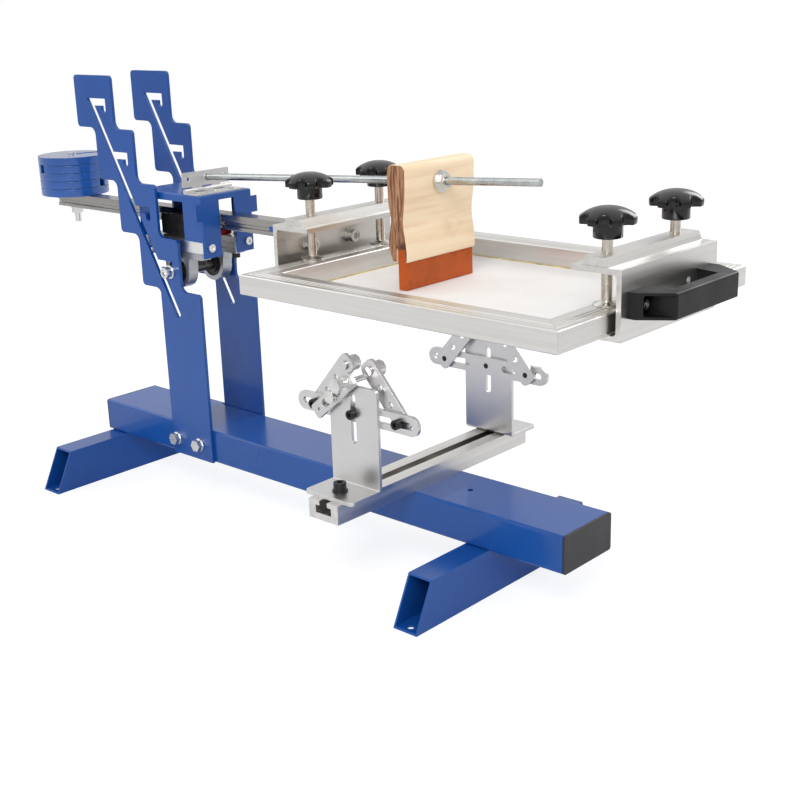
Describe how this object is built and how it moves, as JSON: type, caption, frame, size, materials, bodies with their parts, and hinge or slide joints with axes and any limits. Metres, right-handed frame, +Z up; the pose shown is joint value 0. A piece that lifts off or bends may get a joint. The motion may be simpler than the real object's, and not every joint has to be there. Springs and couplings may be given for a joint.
{
  "type": "tabletop screen printing press",
  "caption": "Tabletop screen printing press for round articles: tilting counterweighted head, sliding frame, hinged squeegee arm and an adjustable roller cradle.",
  "frame": {"origin": "middle of the four bench holes, on the bench", "axes": "+X from the posts to the pull handle, +Y from the near bracket to the far bracket, +Z up"},
  "size_m": [0.9645, 0.31, 0.5014],
  "materials": {
    "blue_paint": "semi-gloss powder coat",
    "black_plastic": "fine satin",
    "aluminium": "mill finish",
    "zinc_steel": "zinc plated",
    "bright_steel": "ground",
    "black_steel": "black oxide",
    "cast_iron": "painted casting",
    "red_plastic": "moulded seal",
    "beech": "bare planed wood",
    "polyurethane": "smooth",
    "mesh": "fine woven polyester"
  },
  "bodies": {
    "stand": {"base_beam": "blue_paint", "feet": "blue_paint", "end_caps": "black_plastic", "post_near": "blue_paint", "post_far": "blue_paint", "base_bolts": "zinc_steel", "pivot_shaft": "bright_steel", "shaft_screws": "zinc_steel", "t_rail": "aluminium"},
    "head": {"pillow_blocks": "cast_iron", "bearing_inserts": "bright_steel", "spacer_blocks": "aluminium", "block_screws": "black_steel", "guide_carriage": "bright_steel", "carriage_end_caps": "red_plastic", "head_bracket": "blue_paint", "bracket_screws": "zinc_steel", "hinge_lower_leaf": "zinc_steel"},
    "screen": {"guide_rail": "bright_steel", "counterweights": "blue_paint", "weight_bolt": "zinc_steel", "rear_channel": "aluminium", "front_channel": "aluminium", "rail_angle": "aluminium", "channel_screws": "zinc_steel", "clamp_bars": "aluminium", "screen_frame": "aluminium", "screen_mesh": "mesh", "pull_handle": "black_plastic"},
    "squeegee_arm": {"hinge_upper_leaf": "zinc_steel", "threaded_rod": "zinc_steel"},
    "squeegee": {"squeegee_handle": "beech", "squeegee_blade": "polyurethane", "squeegee_nuts": "zinc_steel"},
    "bracket_near": {"l_bracket_near": "zinc_steel", "bracket_fasteners_near": "black_steel", "stop_bar": "zinc_steel", "stop_bolt": "zinc_steel"},
    "bracket_far": {"l_bracket_far": "zinc_steel", "bracket_fasteners_far": "black_steel"},
    "stud_rear_near": {"clamp_stud_rear_near": "zinc_steel"},
    "knob_rear_near": {"clamp_knob_rear_near": "black_plastic"},
    "stud_rear_far": {"clamp_stud_rear_far": "zinc_steel"},
    "knob_rear_far": {"clamp_knob_rear_far": "black_plastic"},
    "stud_front_near": {"clamp_stud_front_near": "zinc_steel"},
    "knob_front_near": {"clamp_knob_front_near": "black_plastic"},
    "stud_front_far": {"clamp_stud_front_far": "zinc_steel"},
    "knob_front_far": {"clamp_knob_front_far": "black_plastic"},
    "crossbar_near": {"crossbar_near": "zinc_steel", "crossbar_screws_near": "black_steel"},
    "arm_near_left": {"cradle_arm_near_left": "zinc_steel"},
    "roller_near_left": {"roller_near_left": "bright_steel"},
    "arm_near_right": {"cradle_arm_near_right": "zinc_steel"},
    "roller_near_right": {"roller_near_right": "bright_steel"},
    "crossbar_far": {"crossbar_far": "zinc_steel", "crossbar_screws_far": "black_steel"},
    "arm_far_left": {"cradle_arm_far_left": "zinc_steel"},
    "roller_far_left": {"roller_far_left": "bright_steel"},
    "arm_far_right": {"cradle_arm_far_right": "zinc_steel"},
    "roller_far_right": {"roller_far_right": "bright_steel"}
  },
  "joints": [
    {"name": "head_tilt", "type": "hinge", "parent": "stand", "child": "head", "pos_m": [-0.1565, 0, 0.2788], "axis": [0, -1, 0], "range_deg": [-8, 42]},
    {"name": "screen_slide", "type": "slide", "parent": "head", "child": "screen", "axis": [1, 0, 0], "range_m": [-0.125, 0.06]},
    {"name": "squeegee_arm_lift", "type": "hinge", "parent": "head", "child": "squeegee_arm", "pos_m": [-0.126, 0, 0.374], "axis": [0, -1, 0], "range_deg": [0, 38]},
    {"name": "squeegee_reach", "type": "slide", "parent": "squeegee_arm", "child": "squeegee", "axis": [0.9984, 0, 0.0572], "range_m": [-0.004, 0.1]},
    {"name": "clamp_rise_rear_near", "type": "slide", "parent": "screen", "child": "stud_rear_near", "axis": [0, 0, 1], "range_m": [0, 0.0075]},
    {"name": "knob_turn_rear_near", "type": "hinge", "parent": "stud_rear_near", "child": "knob_rear_near", "pos_m": [0.101, -0.0585, 0.39], "axis": [0, 0, 1], "range_deg": [0, 1801]},
    {"name": "clamp_rise_rear_far", "type": "slide", "parent": "screen", "child": "stud_rear_far", "axis": [0, 0, 1], "range_m": [0, 0.0075]},
    {"name": "knob_turn_rear_far", "type": "hinge", "parent": "stud_rear_far", "child": "knob_rear_far", "pos_m": [0.101, 0.0445, 0.39], "axis": [0, 0, 1], "range_deg": [0, 1801]},
    {"name": "clamp_rise_front_near", "type": "slide", "parent": "screen", "child": "stud_front_near", "axis": [0, 0, 1], "range_m": [0, 0.0075]},
    {"name": "knob_turn_front_near", "type": "hinge", "parent": "stud_front_near", "child": "knob_front_near", "pos_m": [0.4575, -0.058, 0.39], "axis": [0, 0, 1], "range_deg": [0, 1801]},
    {"name": "clamp_rise_front_far", "type": "slide", "parent": "screen", "child": "stud_front_far", "axis": [0, 0, 1], "range_m": [0, 0.0075]},
    {"name": "knob_turn_front_far", "type": "hinge", "parent": "stud_front_far", "child": "knob_front_far", "pos_m": [0.4575, 0.052, 0.39], "axis": [0, 0, 1], "range_deg": [0, 1801]},
    {"name": "bracket_slide_near", "type": "slide", "parent": "stand", "child": "bracket_near", "axis": [0, 1, 0], "range_m": [-0.006, 0.08]},
    {"name": "crossbar_rise_near", "type": "slide", "parent": "bracket_near", "child": "crossbar_near", "axis": [0, 0, 1], "range_m": [-0.026, 0.012]},
    {"name": "arm_lean_near_left", "type": "hinge", "parent": "crossbar_near", "child": "arm_near_left", "pos_m": [0.1391, -0.095, 0.1885], "axis": [0, 1, 0], "range_deg": [-30, 4]},
    {"name": "roller_turn_near_left", "type": "hinge", "parent": "arm_near_left", "child": "roller_near_left", "pos_m": [0.1786, -0.095, 0.23406], "axis": [0, 1, 0], "continuous": true},
    {"name": "arm_lean_near_right", "type": "hinge", "parent": "crossbar_near", "child": "arm_near_right", "pos_m": [0.2521, -0.095, 0.1885], "axis": [0, 1, 0], "range_deg": [-4, 30]},
    {"name": "roller_turn_near_right", "type": "hinge", "parent": "arm_near_right", "child": "roller_near_right", "pos_m": [0.2126, -0.095, 0.23406], "axis": [0, 1, 0], "continuous": true},
    {"name": "bracket_slide_far", "type": "slide", "parent": "stand", "child": "bracket_far", "axis": [0, 1, 0], "range_m": [-0.08, 0.005]},
    {"name": "crossbar_rise_far", "type": "slide", "parent": "bracket_far", "child": "crossbar_far", "axis": [0, 0, 1], "range_m": [-0.026, 0.012]},
    {"name": "arm_lean_far_left", "type": "hinge", "parent": "crossbar_far", "child": "arm_far_left", "pos_m": [0.1391, 0.102, 0.1885], "axis": [0, 1, 0], "range_deg": [-30, 4]},
    {"name": "roller_turn_far_left", "type": "hinge", "parent": "arm_far_left", "child": "roller_far_left", "pos_m": [0.1786, 0.095, 0.23406], "axis": [0, 1, 0], "continuous": true},
    {"name": "arm_lean_far_right", "type": "hinge", "parent": "crossbar_far", "child": "arm_far_right", "pos_m": [0.2521, 0.102, 0.1885], "axis": [0, 1, 0], "range_deg": [-4, 30]},
    {"name": "roller_turn_far_right", "type": "hinge", "parent": "arm_far_right", "child": "roller_far_right", "pos_m": [0.2126, 0.095, 0.23406], "axis": [0, 1, 0], "continuous": true}
  ],
  "couplings": [
    {"joint": "knob_turn_rear_near", "follows": "clamp_rise_rear_near", "rad_per_m": 4188.8},
    {"joint": "knob_turn_rear_far", "follows": "clamp_rise_rear_far", "rad_per_m": 4188.8},
    {"joint": "knob_turn_front_near", "follows": "clamp_rise_front_near", "rad_per_m": 4188.8},
    {"joint": "knob_turn_front_far", "follows": "clamp_rise_front_far", "rad_per_m": 4188.8}
  ]
}
